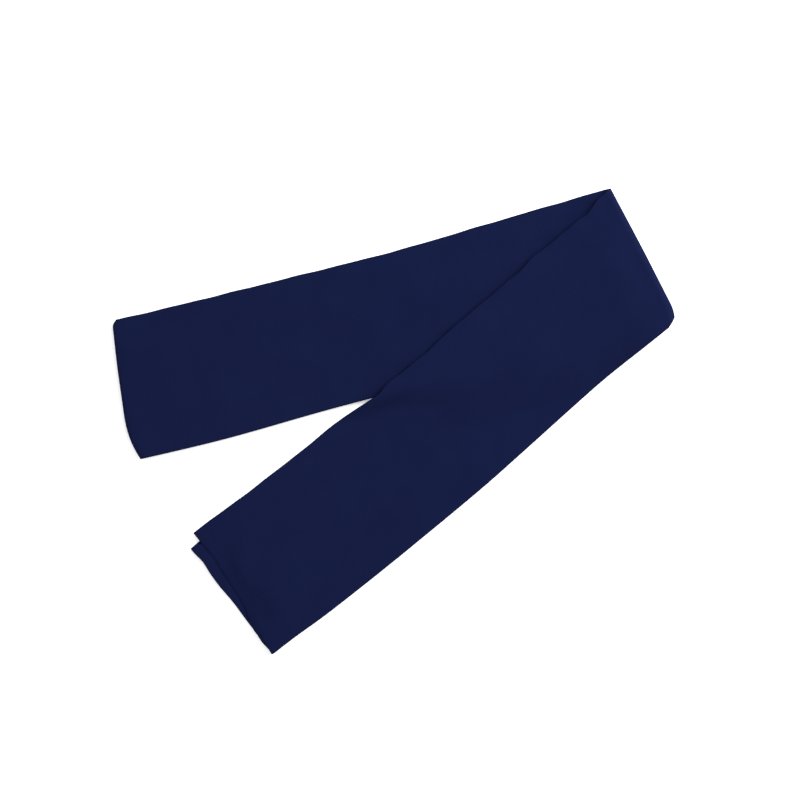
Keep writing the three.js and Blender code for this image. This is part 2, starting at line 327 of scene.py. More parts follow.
class Arm:
    """An arm of the folded band in plan, between its folded edge and its open edge."""

    def __init__(self, sections: tuple[Section, ...], length: float) -> None:
        """Keep both edges as curves by length, from the slanted fold on.

        Args:
            sections: The arm's sections.
            length: Its length, by which its sizes are measured.
        """
        self.length = length
        self.open = self._by_length(np.array([(row.open_x, row.open_y) for row in sections]))
        self.fold = self._by_length(np.array([(row.fold_x, row.fold_y) for row in sections]))

    @staticmethod
    def _by_length(points: Array, steps: int = 80) -> tuple[Array, Array]:
        """Sample the smooth curve through the points and measure it.

        Between two points the curve is the cubic that leaves each along the line between its neighbours.

        Args:
            points: The points in plan.
            steps: Samples for each span.

        Returns:
            The share of the length at each sample, and the samples.
        """
        spans = len(points) - 1
        t = np.linspace(0, spans, spans * steps + 1)
        i = np.minimum(t.astype(int), spans - 1)
        w = (t - i)[:, None]
        before, here = points[np.maximum(i - 1, 0)], points[i]
        ahead, beyond = points[i + 1], points[np.minimum(i + 2, spans)]
        leave, arrive = (ahead - before) / 2, (beyond - here) / 2
        curve = (2 * here - 2 * ahead + leave + arrive) * w**3
        curve = curve + (3 * ahead - 3 * here - 2 * leave - arrive) * w**2 + leave * w + here
        steps_long = np.linalg.norm(np.diff(curve, axis=0), axis=1)
        length = np.concatenate([[0], np.cumsum(steps_long)])
        return length / length[-1], curve

    def _edge(self, edge: tuple[Array, Array], along: Array) -> tuple[Array, Array]:
        """The points of an edge, which runs on straight past the arm's end.

        Args:
            edge: The shares of the edge's length, and the points there.
            along: Distances along the arm.

        Returns:
            Both coordinates in plan.
        """
        share, curve = edge
        way = curve[-1] - curve[-2]
        way = way / np.linalg.norm(way)
        beyond = np.maximum(along - self.length, 0)
        at = clamp(along / self.length)
        x, y = (np.interp(at, share, curve[:, k]) + way[k] * beyond for k in (0, 1))
        return x, y

    def width(self, along: Array | float) -> Array:
        """The arm's width between its two edges, at distances along it."""
        fold, open_edge = self._edge(self.fold, along), self._edge(self.open, along)
        return np.hypot(open_edge[0] - fold[0], open_edge[1] - fold[1])

    def plan(self, along: Array, across: Array) -> tuple[Array, Array]:
        """The points in plan, on straight lines from the folded edge to the open edge.

        Args:
            along: Distances along the arm.
            across: Distances across it, from the folded edge.

        Returns:
            Both coordinates.
        """
        fold, open_edge = self._edge(self.fold, along), self._edge(self.open, along)
        share = across / np.hypot(open_edge[0] - fold[0], open_edge[1] - fold[1])
        return mix(fold[0], open_edge[0], share), mix(fold[1], open_edge[1], share)


@dataclass(frozen=True)
class DyedCloth:
    """Brushed acrylic knit, piece dyed navy: matt and slightly fuzzy, so that its stitches barely show."""

    deep: str = "#0b1130"
    light: str = "#11193a"
    tone_range: tuple[float, float] = (0.3, 0.8)  # the tones at which the colour is deep and light
    tone_and_shade_shares: tuple[float, float, float] = (0.55, 0.3, 0.25)  # of the fibres, the patches, and painted shade in the hollows between the stitches
    roughness: float = 0.94
    specular: float = 0.04
    fuzz: float = 0.02
    fuzz_roughness: float = 0.6
    wale: float = 1.5  # mm from one column of stitches to the next
    course: float = 1.25  # mm from one row of stitches to the next
    swing: float = 0.35  # how much of a stitch's height comes and goes along its column
    fibre: float = 0.9  # mm, size of the brushed tufts
    patch: float = 38.0  # mm, size of the areas that took the dye differently
    grain: float = 0.55  # roughness of both of these noises
    stitch_depth: float = 0.12  # mm
    fibre_depth: float = 0.16  # mm
    relief: float = 0.8  # how much of the depth the light sees

    def material(self) -> bpy.types.Material:
        """Make the cloth's material.

        The stitches are rows of V shapes: a sine along the cloth whose phase grows with the distance from the
        middle of each column, and which dies out between the columns. Fibres are a fine noise over it. The
        colour is darker where the stitches are low, as painted shade in the hollows between them.

        Returns:
            The material.
        """
        made, tree = new_material("navy_brushed_knit")
        uv = add(tree, "ShaderNodeUVMap", {"uv_map": "cloth"})
        split = add(tree, "ShaderNodeSeparateXYZ", {}, {0: (uv, 0)})
        got: dict[str, object] = {"u": (split, 0), "v": (split, 1)}
        for name, size, detail in (("fibres", self.fibre, 3.0), ("patches", self.patch, 2.0)):
            inputs = {"Vector": (uv, 0), "Scale": 1 / (size * MM), "Detail": detail, "Roughness": self.grain}
            got[name] = (add(tree, "ShaderNodeTexNoise", {}, inputs), 0)
        for name, operation, *values in self._steps():
            inputs = {k: got[value] if isinstance(value, str) else value for k, value in enumerate(values)}
            got[name] = (add(tree, "ShaderNodeMath", {"operation": operation}, inputs), 0)
        inputs = {"Strength": self.relief, "Distance": 1.0, "Height": got["height"]}
        bump = add(tree, "ShaderNodeBump", {}, inputs)
        # the tone that the ramp reads holds the dye's mottling and the painted shade between the stitches
        ramp = add(tree, "ShaderNodeValToRGB", {}, {"Fac": got["tone"]})
        for element, place, code in zip(ramp.color_ramp.elements, self.tone_range, (self.deep, self.light)):
            element.position = place
            element.color = linear(code)
        inputs = {
            "Base Color": (ramp, 0),
            "Roughness": self.roughness,
            "Specular IOR Level": self.specular,
            "Sheen Weight": self.fuzz,
            "Sheen Roughness": self.fuzz_roughness,
            "Sheen Tint": linear(self.light),
            "Normal": (bump, 0),
        }
        shader = add(tree, "ShaderNodeBsdfPrincipled", {}, inputs)
        add(tree, "ShaderNodeOutputMaterial", {}, {"Surface": (shader, 0)})
        return made

    def _steps(self) -> tuple[tuple[str | float, ...], ...]:
        """The sums behind the stitches' height and the cloth's tone, with painted shade where the stitches
        are low.

        Returns:
            For each step a name, an operation and its values, which are numbers or names of other steps.
        """
        # the third share darkens the colour where the stitches are low: painted shade in their hollows
        fine, wide, loops = self.tone_and_shade_shares
        return (
            ("column", "DIVIDE", "u", self.wale * MM),
            ("row", "DIVIDE", "v", self.course * MM),
            ("cell", "FRACT", "column"),
            ("from_middle", "SUBTRACT", "cell", 0.5),
            ("off", "ABSOLUTE", "from_middle"),
            ("turns", "ADD", "row", "off"),
            ("phase", "MULTIPLY", "turns", 2 * math.pi),
            ("wave", "SINE", "phase"),
            ("swing", "MULTIPLY", "wave", self.swing),
            ("level", "ADD", "swing", 1 - self.swing),
            ("bend", "MULTIPLY", "off", math.pi),
            ("rounding", "COSINE", "bend"),
            ("loops", "MULTIPLY", "level", "rounding"),
            ("stitches", "MULTIPLY", "loops", self.stitch_depth * MM),
            ("tufts", "MULTIPLY", "fibres", self.fibre_depth * MM),
            ("height", "ADD", "stitches", "tufts"),
            ("fine_tone", "MULTIPLY", "fibres", fine),
            ("wide_tone", "MULTIPLY", "patches", wide),
            ("loop_tone", "MULTIPLY", "loops", loops),
            ("slow_tone", "ADD", "wide_tone", "loop_tone"),
            ("tone", "ADD", "fine_tone", "slow_tone"),
        )


@dataclass(frozen=True)
class SewingThread:
    """Spun polyester thread, dyed to the cloth and a little smoother than it: it shows as a faint shine."""

    colour: str = "#0f1636"
    roughness: float = 0.7
    specular: float = 0.12
    # The texture's size in mm. Its slanted bands stand for the yarn's turns, far coarser than they are.
    bands: float = 9.0
    band_depth: float = 0.05  # mm
    relief: float = 0.5  # how much of that depth the light sees

    def material(self) -> bpy.types.Material:
        """Make the thread's material, with the yarn's turns as slanted bands.

        Returns:
            The material.
        """
        made, tree = new_material("navy_polyester_thread")
        place = add(tree, "ShaderNodeTexCoord")
        settings = {"wave_type": "BANDS", "bands_direction": "DIAGONAL"}
        inputs = {"Vector": (place, 3), "Scale": 1 / (self.bands * MM)}
        wave = add(tree, "ShaderNodeTexWave", settings, inputs)
        inputs = {"Strength": self.relief, "Distance": self.band_depth * MM, "Height": (wave, 1)}
        bump = add(tree, "ShaderNodeBump", {}, inputs)
        inputs = {
            "Base Color": linear(self.colour),
            "Roughness": self.roughness,
            "Specular IOR Level": self.specular,
            "Normal": (bump, 0),
        }
        shader = add(tree, "ShaderNodeBsdfPrincipled", {}, inputs)
        add(tree, "ShaderNodeOutputMaterial", {}, {"Surface": (shader, 0)})
        return made


@dataclass(frozen=True)
class OpalPanel:
    """Opal acrylic panel of a light table: an even pale ground, lit from below so that shadows stay faint."""

    colour: str = "#fbfbfb"
    roughness: float = 0.9
    specular: float = 0.1
    glow: float = 0.45

    def material(self) -> bpy.types.Material:
        """Make the panel's material.

        Returns:
            The material.
        """
        made, tree = new_material("opal_acrylic_panel")
        inputs = {
            "Base Color": linear(self.colour),
            "Roughness": self.roughness,
            "Specular IOR Level": self.specular,
            "Emission Color": linear(self.colour),
            "Emission Strength": self.glow,
        }
        shader = add(tree, "ShaderNodeBsdfPrincipled", {}, inputs)
        add(tree, "ShaderNodeOutputMaterial", {}, {"Surface": (shader, 0)})
        return made


def into_scene(name: str, data: bpy.types.ID) -> bpy.types.Object:
    """Put a mesh, a light or a camera into the scene.

    Args:
        name: The object's name.
        data: What it shows.

    Returns:
        The object.
    """
    made = bpy.data.objects.new(name, data)
    bpy.context.scene.collection.objects.link(made)
    return made


def new_material(name: str) -> tuple[bpy.types.Material, bpy.types.NodeTree]:
    """Make a material without nodes.

    Args:
        name: What the real material is.

    Returns:
        The material and its node tree.
    """
    made = bpy.data.materials.new(name)
    made.use_nodes = True
    made.node_tree.nodes.clear()
    return made, made.node_tree


def add(
    tree: bpy.types.NodeTree,
    kind: str,
    settings: dict[str, object] | None = None,
    inputs: dict[str | int, object] | None = None,
) -> bpy.types.Node:
    """Add a node with its settings and its links.

    Args:
        tree: The material's node tree.
        kind: The node's type.
        settings: Values of the node itself.
        inputs: For each socket a value, or a pair of a node and the number of its output.

    Returns:
        The node.
    """
    node = tree.nodes.new(kind)
    for name, value in (settings or {}).items():
        setattr(node, name, value)
    for name, value in (inputs or {}).items():
        if isinstance(value, tuple) and isinstance(value[0], bpy.types.Node):
            tree.links.new(value[0].outputs[value[1]], node.inputs[name])
        else:
            node.inputs[name].default_value = value
    return node


@dataclass
class FoldedCloth:
    """The scarf's cloth in its folds, as one closed sheet with a real wall."""

    wall: float = 1.0
    layers: int = 4  # of cloth in each arm
    air: float = 0.45  # between the layers
    arm_air: float = 0.5  # between the arms
    corner_air: float = 1.8  # more of it, at the slanted fold's loose corner
    inner_short: float = 2.5  # the band's inner half ends this much before its outer half
    arm_length: float = 459.0
    inset_reach: float = 3.0  # over how many times its own size an inset dies out
    # Small waves of the open edges: turns of the phase by layer, length in mm over two pi, and share.
    flutters: tuple[tuple[int, float, float], ...] = ((1, 8.7, 1.0), (2, 5.1, 0.7))
    open_rim: float = 0.33
    end_rim: float = 0.88  # the rim's share of the wall at the end on top, pressed to the layer below it
    mitre: float = 1.15  # the most that a wall is lengthened where the cloth bends
    hem_extra: float = 0.06
    hem_step: tuple[float, float] = (11.0, 13.0)  # from the end, where the hem's second layer ends
    groove_at: float = 10.2  # from the end to the sewn line
    groove_width: float = 0.7
    groove_depth: float = 0.08
    end_roll: float = 0.06
    roll_at: float = 1.5
    end_thin: float = 0.28  # how much thinner each half wall gets at a free end
    thin_reach: float = 1.8
    end_askew: tuple[float, float] = (13.0, 60.0)  # how much shorter the top run's inner half is
    askew_across: tuple[float, float] = (70.0, 115.0)
    askew_along: tuple[float, float] = (240.0, 440.0)
    askew_from: float = 60.0  # beside the long fold the inner half is hardly shorter
    askew_least: float = 0.5
    sink_start: float = 1.05  # where the outer half begins to come down, in shares of that difference
    sink_from: float = 50.0
    end_rest: float = 1.08  # from the middle of the outer half to that of the layer on which it then lies
    end_curl: float = 1.1  # how far the ends curl up beside that
    curl_along: tuple[float, float] = (436.0, 458.0)
    curl_across: tuple[float, float] = (52.0, 92.0)
    same_seat: tuple[float, float] = (5.0, 45.0)  # where the arms part, beyond the slanted fold
    drape_by_fold: tuple[float, float] = (6.0, 48.0)  # the slope down beside the upper arm's folded edge
    drape_by_gap: tuple[float, float] = (-3.0, 15.0)
    drape_change: tuple[float, float] = (192.0, 250.0)  # where the slope beside the gap takes over
    ripple_start: float = 50.0  # over which the ripples set in, and die out
    ripple_end: float = 40.0
    lower_shift: float = 300.0  # moves the lower arm's ripples, so that they aren't those of the upper arm
    hem_rows_from: float = 48.0  # from the end, where the even rows stop
    floor_snap: float = 0.06  # points this low are pressed flat to the floor
    roll_steps: int = 8  # in the long fold's half turn
    turn_steps: int = 14  # in a half turn of the slanted fold or the loop
    body_rows: int = 118
    row_bend: float = 1.5  # the power that brings the rows closer together at the slanted fold
    side_columns: int = 34
    column_bend: float = 0.65  # how strongly the columns are drawn to the band's two edges
    sharp_angle: float = 48.0  # degrees
    slant_corner: Corner = Corner(3.9, 15.0, 2.0)
    loop_corner: Corner = Corner(9.0, 42.0, 2.2)
    loop_top_corner: Corner = Corner(4.0, 6.0, 2.0)
    slant_bow: Bow = Bow(0.6, 64.0, 45.0)
    loop_bow: Bow = Bow(0.6, 82.0, 28.0)
    slant_swell: Swell = Swell(0.26, 0.08, 20.0, 75.0)
    slant_press: Relief = Relief(0, 48, 16, 50, -0.20)  # the slanted fold is flatter than what lies behind it
    slant_flat: float = 6.0  # its full press reaches this far from the fold's line, past the half turn
    loop_swell: Swell = Swell(0.25, 0.25, 8.0, 36.0)
    long_swell: Swell = Swell(0.12, 0.12, 3.0, 20.0)
    end_swell: Swell = Swell(0.42, 0.16, 26.0, 90.0)
    end_step: EndStep = EndStep(436.0, 448.0, 22.0, -0.52, 46.0, 75.0)
    lower_reliefs: tuple[Relief, ...] = (
        Relief(290, 9, 75, 9, 0.16),  # ridge by the folded edge
        Relief(290, 27, 75, 10, -0.10),  # valley beside it
        Relief(440, 46, 6, 14, -0.14, turn=8),  # small hollow in the slope to the free ends
        Relief(285, 103, 22, 6, -0.08),  # hollow beside the gap
        Relief(250, 111, 20, 12, 0.26),  # the edge stays full beside the gap
        Relief(25, 36, 10, 17, -0.20),  # hollow behind the slanted fold
        Relief(24, 115, 9, 3.5, 0.12, turn=50),  # puckers that run out of the tip
        Relief(46, 98, 12, 4, -0.10, turn=64),
        Relief(240, 117, 8, 4, 0.14, turn=20),  # it also rides up a little where the gap begins
    )
    upper_reliefs: tuple[Relief, ...] = (
        Relief(430, 60, 16, 40, -0.05),  # hollow beside the loop
        Relief(250, 100, 90, 14, 0.04),  # long low ridge near the open edge
        Relief(20, 119, 9, 3.0, 0.16, turn=-38),  # pucker beside the crossing edge
        Relief(41, 104, 13, 3.6, 0.13, turn=-41),
        Relief(30, 118, 8, 3.2, -0.10, turn=-25),
    )
    ripples: tuple[Ripple, ...] = (
        Ripple(118, 24, 0.4, 0.03),
        Ripple(83, 71, 2.1, 0.022),
        Ripple(61, -38, 4.0, 0.014),
        Ripple(37, 103, 5.2, 0.008),
    )
    upper_floor: Run = Run(Place.UPPER, 0.5, Side.DOWN, (0, 1.2, 0), (0, 1.2, 0))
    upper_top: Run = Run(Place.UPPER, 2.5, Side.UP, flutter=0.14)
    lower_under: Run = Run(
        Place.LOWER,
        4.5,
        Side.DOWN,
        fold_side=(0, 0.8, 0),
        open_side=(0, 0.5, 9.5),
        end_back=(0.6, 0.7, 0.5),
        end_waves=(
            EdgeWave(99, 8, 1.3),
            EdgeWave(75, 8, -0.3),
            EdgeWave(54, 11, 0.5),
            EdgeWave(14, 6, -0.9),
        ),
        flutter=0.1,
    )
    lower_top: Run = Run(
        Place.LOWER,
        6.5,
        Side.UP,
        fold_side=(0, 0.4, 0.4),
        end_back=(0, 8.2, 10.5),
        side_waves=(
            EdgeWave(13, 5, -1.0),
            EdgeWave(29, 8, 2.2),
            EdgeWave(47, 6, 0.7),
            EdgeWave(85, 8, -0.9),
            EdgeWave(103, 7, 1.0),
            EdgeWave(170, 8, -0.7),
            EdgeWave(205, 8, 1.2),
            EdgeWave(243, 8, -1.2),
            EdgeWave(257, 5, 1.1),
        ),
        end_waves=(EdgeWave(96, 9, 1.2), EdgeWave(28, 14, -3.8)),
        flutter=0.12,
    )

    def __post_init__(self) -> None:
        """Work out the arms and the columns of the grid."""
        self.pitch = self.wall + self.air
        self.slant_middle = self.layers - 0.5  # height of the middle of the eight layers, in pitches
        self.loop_middle = (self.layers - 1) / 2  # height of the middle of the upper arm's four
        self.upper = Arm(UPPER_ARM, self.arm_length)
        self.lower = Arm(LOWER_ARM, self.arm_length)
        self.band = float(self.upper.width(self.arm_length))
        flat = self._column_shares()
        rolls = np.pi * (0.5 - np.arange(1, self.roll_steps) / self.roll_steps)
        self.flat = np.concatenate([flat[::-1], np.zeros(len(rolls)), flat])
        self.roll = np.concatenate([np.full(len(flat), np.pi / 2), rolls, np.full(len(flat), -np.pi / 2)])
        start, end = (np.array([UPPER_ARM[k].fold_x, UPPER_ARM[k].fold_y]) for k in (HIDDEN_EDGE_FROM, 0))
        self.hidden_start = start
        self.hidden_way = (end - start) / np.linalg.norm(end - start)

    def _column_shares(self) -> Array:
        """Shares across the band: an even count bent by a sine, so that they are closest at both edges."""
        t = np.linspace(0, 1, self.side_columns)
        return t - self.column_bend * np.sin(2 * np.pi * t) / (2 * np.pi)

    def _fold_swell(self, along: Array, across: Array) -> Array:
        """The extra share of the pitch near the slanted fold and near the long fold.

        Args:
            along: Distances along an arm.
            across: Distances across it.

        Returns:
            The share.
        """
        behind = np.maximum(along - self.slant_flat, 0)
        share = self.slant_swell.share(along, across, self.band) + self.slant_press.at(behind, across)
        return share + self.long_swell.share(across, 0.0, 1.0)

    def _ripple(self, along: Array, across: Array, shift: float) -> Array:
        """The sum of the long shallow waves, moved along by a shift and dying out at both ends of the arm."""
        total = sum(ripple.at(along + shift, across) for ripple in self.ripples)
        return total * ease(along / self.ripple_start) * ease((self.arm_length - along) / self.ripple_end)

    def upper_pitch(self, along: Array, across: Array) -> Array:
        """The pitch of the upper arm's layers: the plain pitch with the shares of all swells and reliefs.

        Args:
            along: Distances along the arm.
            across: Distances across it.

        Returns:
            The pitch.
        """
        share = self._fold_swell(along, across)
        share = share + self.loop_swell.share(self.arm_length - along, across, self.band)
        share = share + sum(relief.at(along, across) for relief in self.upper_reliefs)
        return self.pitch * (1 + share + self._ripple(along, across, 0.0))

    def lower_pitch(self, along: Array, across: Array) -> Array:
        """The pitch of the lower arm's layers, as for the upper arm.

        Args:
            along: Distances along the arm.
            across: Distances across it.

        Returns:
            The pitch.
        """
        share = self._fold_swell(along, across)
        share = share + self.end_swell.share(self.arm_length - along, across, self.band)
        share = share + self.end_step.at(along, across, self.band)
        share = share + sum(relief.at(along, across) for relief in self.lower_reliefs)
        return self.pitch * (1 + share + self._ripple(along, across, self.lower_shift))

    def _air_between(self, along: Array, across: Array) -> Array:
        """The air between the arms, which the slanted fold holds open at its corner."""
        near = (1 - clamp(across / self.band)) * fade(along, self.slant_swell.start, self.slant_swell.end)
        return self.arm_air + self.corner_air * near

    def _lift(self, along: Array, seat: Array, x: Array, y: Array) -> Array:
        """How high the upper arm, or the slope beside it, lifts the lower arm.

        Near the slanted fold both arms have the same place across them. Further on, the place on the upper
        arm is the distance inside its folded edge.

        Args:
            along: Distances along the lower arm.
            seat: Distances across it.
            x: The points' places in plan.
            y: The same, for the other axis.

        Returns:
            The heights, which fade out with the distance beyond the upper arm's edge.
        """
        way, start = self.hidden_way, self.hidden_start
        inside = way[0] * (y - start[1]) - way[1] * (x - start[0])
        on_upper = mix(np.maximum(0, inside), seat, fade(along, *self.same_seat))
        full = self.layers * self.upper_pitch(along, on_upper) + self._air_between(along, on_upper)
        by_fold, by_gap = (fade(-inside, *slope) for slope in (self.drape_by_fold, self.drape_by_gap))
        return full * mix(by_fold, by_gap, rise(along, *self.drape_change))

    def _slant_centre(self, seat: Array) -> Array:
        """Where the slanted fold's half turn has its centre, along the arm."""
        return self.slant_corner.cut(seat) + self.slant_bow.cut(seat) + self._slant_reach(seat)

    def _slant_reach(self, seat: Array | float) -> Array:
        """The outer radius of the slanted fold: half its layers, half the arms' air and half a wall.

        Args:
            seat: Distances across the band.

        Returns:
            The radius.
        """
        zero = np.zeros_like(np.asarray(seat, dtype=float))
        pitch, air = self.upper_pitch(zero, seat), self._air_between(zero, seat)
        return self.slant_middle * pitch + (air + self.wall) / 2

    def _loop_centre(self, seat: Array) -> Array:
        """Where the loop's half turn has its centre, behind both cut-back corners and the bow.

        Args:
            seat: Distances across the arm.

        Returns:
            Distances along it.
        """
        full = np.full_like(np.asarray(seat, dtype=float), self.arm_length)
        corners = self.loop_corner.cut(seat) + self.loop_top_corner.cut(self.band - seat)
        cut = corners + self.loop_bow.cut(seat)
        return self.arm_length - cut - self.loop_middle * self.upper_pitch(full, seat) - self.wall / 2

    def _hem_start(self, seat: Array) -> Array:
        """Where the even rows of the lower arm end and the hem's rows begin, along the arm."""
        return np.full_like(seat, self.arm_length - self.hem_rows_from)

    def _inset(self, inset: Array, distance: Array) -> Array:
        """How far an inset at an edge moves the cloth, at a distance from that edge."""
        return inset * (1 - ease(distance / (self.inset_reach * np.maximum(np.abs(inset), self.wall))))

    def _across(
        self, run: Run, along: Array, width: Array, pitch: Array, corner: Array | float
    ) -> tuple[Array, Array]:
        """Distances across the arm from its folded edge, for all columns of some rows.

        Args:
            run: The run that the rows belong to.
            along: Each row's distance along the arm, as a column of numbers.
            width: The arm's width there.
            pitch: The pitch of the layers there, at the long fold.
            corner: A further inset at a rounded corner.

        Returns:
            The seat, which is that of the nearest flat column, and the distance itself.
        """
        share = clamp(along / self.arm_length)
        fold_inset = through_three(run.fold_side, share) + corner
        flutter = sum(size * np.sin(along / reach + k * run.layer) for k, reach, size in self.flutters)
        open_inset = through_three(run.open_side, share) + run.flutter * flutter
        open_inset = open_inset + sum(wave.inset_at(along) for wave in run.side_waves)
        open_inset = open_inset + np.where(self.roll < 0, self.inner_short, 0.0)
        plain = mix((self.wall + pitch) / 2, width, self.flat)
        seat = plain + self._inset(fold_inset, plain) - self._inset(open_inset, width - plain)
        return seat, seat - (pitch / 2) * np.cos(self.roll)

    def _flat_rows(self, run: Run) -> tuple[Array, Array]:
        """The rows of a run between the slanted fold and the loop or the free end.

        A row's distance along the arm is blended between the turn's centre and the far end, so that the rows
        follow their shape. Near a free end they keep their distance from the end itself, for the hem.

        Args:
            run: The run.

        Returns:
            Points by row and column, and each row's distance from the free end, or infinity away from it.
        """
        upper = run.place is Place.UPPER
        t = np.linspace(0, 1, self.body_rows + 1)[1:]
        share = mix(t, t**self.row_bend, fade(t, 0.0, 0.5))[:, None]
        share = share[:-1] if upper else share
        back = np.full((len(share), 1), np.inf)
        last = self._loop_centre if upper else self._hem_start
        grid = self._rows_at(run, lambda seat: mix(self._slant_centre(seat), last(seat), share))
        if not upper:
            ends = self._rows_at(run, lambda seat: self.arm_length - self._end_back(run, seat) - HEM_ROWS)
            grid, back = np.concatenate([grid, ends]), np.concatenate([back, HEM_ROWS])
        return grid, back[:, 0]

    def _rows_at(self, run: Run, along_of: Callable[[Array], Array]) -> Array:
        """The points of some rows of a run.

        Their height is the run's layer times the pitch. The lower arm has the lift added to that, and the
        curl near its free ends.

        Args:
            run: The run.
            along_of: Gives the rows' distances along the arm for distances across it.

        Returns:
            Points by row and column.
        """
        upper = run.place is Place.UPPER
        arm, pitch_of = (self.upper, self.upper_pitch) if upper else (self.lower, self.lower_pitch)
        middle = along_of(np.full((1, 1), self.band / 2))
        pitch = pitch_of(middle, np.zeros_like(middle))
        seat, across = self._across(run, middle, arm.width(middle), pitch, 0.0)
        here, sink = self._askew_end(run, along_of(seat), seat)
        x, y = arm.plan(here, across)
        layer = run.layer + run.side.value * np.sin(self.roll) / 2 - sink
        if upper:
            z = self.wall / 2 + layer * pitch_of(here, seat)
        else:
            z = self.wall / 2 + self._lift(here, seat, x, y) + (layer - self.layers) * pitch_of(here, seat)
            z = z + self.end_curl * rise(here, *self.curl_along) * rise(seat, *self.curl_across)
        return np.stack([x, y, z], axis=-1)

    def _askew_end(self, run: Run, along: Array, seat: Array) -> tuple[Array, Array]:
        """Shorten the inner half of the band that ends on top, and let its outer half come down over it.

        The inner half is drawn back more and more over the last part of the arm. The outer half comes down by
        an eased slope that begins where the inner half ends, and then lies on the run below.

        Args:
            run: The run.
            along: Distances along the arm.
            seat: Distances across it.

        Returns:
            The new distances along the arm, and how far the cloth comes down, in pitches.
        """
        if run is not self.lower_top:
            return along, np.zeros_like(along)
        inner = (1 - np.sin(self.roll)) / 2
        askew = mix(*self.end_askew, rise(seat, *self.askew_across))
        reach = askew * ease(seat / self.askew_from) + self.askew_least
        back = self.arm_length - self._end_back(run, seat) - along
        rest = self.end_rest - self.end_thin * bell(back, 0, self.thin_reach)
        drop = 2 - rest / self.lower_pitch(along, seat)
        sink = drop * ease(self.sink_start - back / reach) * (1 - inner) * ease(seat / self.sink_from)
        return along - reach * inner * rise(along, *self.askew_along), sink

    def _end_back(self, run: Run, seat: Array) -> Array:
        """How far a run's free end is set back from the arm's end."""
        back = through_three(run.end_back, clamp(seat / self.band))
        return back + sum(wave.inset_at(seat) for wave in run.end_waves)

    def _angles(self) -> Array:
        """The angles of a half turn, from below to above, one for each row."""
        return (np.pi * (np.arange(self.turn_steps + 1) / self.turn_steps - 0.5))[:, None]

    def _slant_rows(self, run: Run, ring: float, facing: int) -> Array:
        """The rows of the slanted fold, which turns about the middle of the eight layers.

        Each column goes round half a circle in the upright plane along the arm, while it moves over in plan
        from the upper arm to the lower arm.

        Args:
            run: The run that the fold carries on.
            ring: The middle radius of the turn in pitches.
            facing: 1 where the band's outer side looks out of the turn, and -1 where it looks in.

        Returns:
            Points by row and column, from below to above.
        """
        angle = self._angles()
        zero = np.zeros((len(angle), 1))
        flat_pitch = self.upper_pitch(zero, zero)
        plain_radius = ring * flat_pitch + self._air_between(zero, zero) / 2
        corner = self.slant_corner.cut(self._slant_reach(zero) - plain_radius * np.cos(angle))
        seat, across = self._across(run, zero, self.lower.width(0.0), flat_pitch, corner)
        nought = np.zeros_like(seat)
        pitch, air = self.upper_pitch(nought, seat), self._air_between(nought, seat)
        radius = (ring + facing * np.sin(self.roll) / 2) * pitch + air / 2
        along = self._slant_centre(seat) - radius * np.cos(angle)
        share = (1 + np.sin(angle)) / 2
        below, above = self.upper.plan(along, across), self.lower.plan(along, across)
        z = self.wall / 2 + self.slant_middle * pitch + air / 2 + radius * np.sin(angle)
        return np.stack([mix(below[0], above[0], share), mix(below[1], above[1], share), z], axis=-1)

    def _loop_rows(self, run: Run) -> Array:
        """The rows of the loop: half circles about the middle of the upper arm's four layers.

        Args:
            run: The run that the loop carries on.

        Returns:
            Points by row and column, from below to above.
        """
        angle = self._angles()
        full = np.full((len(angle), 1), self.arm_length)
        seat, across = self._across(run, full, self.band, self.upper_pitch(full, np.zeros_like(full)), 0.0)
        pitch = self.upper_pitch(np.full_like(seat, self.arm_length), seat)
        radius = (1 + np.sin(self.roll) / 2) * pitch
        x, y = self.upper.plan(self._loop_centre(seat) + radius * np.cos(angle), across)
        return np.stack([x, y, self.wall / 2 + self.loop_middle * pitch + radius * np.sin(angle)], axis=-1)

    def middle_surface(self) -> tuple[Array, Array]:
        """The cloth's middle surface from its end on top of the lower arm to its end below that.

        Returns:
            Points by row and column, and each row's distance from its free end, or infinity away from it.
        """
        top, top_back = self._flat_rows(self.lower_top)
        under, under_back = self._flat_rows(self.lower_under)
        floor, floor_back = self._flat_rows(self.upper_floor)
        over, over_back = self._flat_rows(self.upper_top)
        outer_turn = self._slant_rows(self.upper_floor, 3, 1)
        loop = self._loop_rows(self.upper_top)
        inner_turn = self._slant_rows(self.upper_top, 1, -1)
        grid = np.concatenate([top[::-1], outer_turn[::-1], floor, loop, over[::-1], inner_turn, under])
        turn = np.full(self.turn_steps + 1, np.inf)
        back = np.concatenate([top_back[::-1], turn, floor_back, turn, over_back[::-1], turn, under_back])
        return grid, back

    def _outward(self, grid: Array) -> Array:
        """Directions out of the cloth's outer side: the mean of the normals of the cells round each point.

        Where the cloth bends the direction is lengthened, so that the wall keeps its thickness.

        Args:
            grid: Points by row and column.

        Returns:
            A direction for each point.
        """
        diagonal = grid[1:, 1:] - grid[:-1, :-1]
        other = grid[:-1, 1:] - grid[1:, :-1]
        cells = np.cross(other, diagonal)
        cells /= np.linalg.norm(cells, axis=-1, keepdims=True)
        around = np.pad(cells, ((1, 1), (1, 1), (0, 0)), mode="edge")
        total = around[1:, 1:] + around[:-1, 1:] + around[1:, :-1] + around[:-1, :-1]
        length = np.linalg.norm(total, axis=-1, keepdims=True)
        return total / length * np.minimum(4 / length, self.mitre)

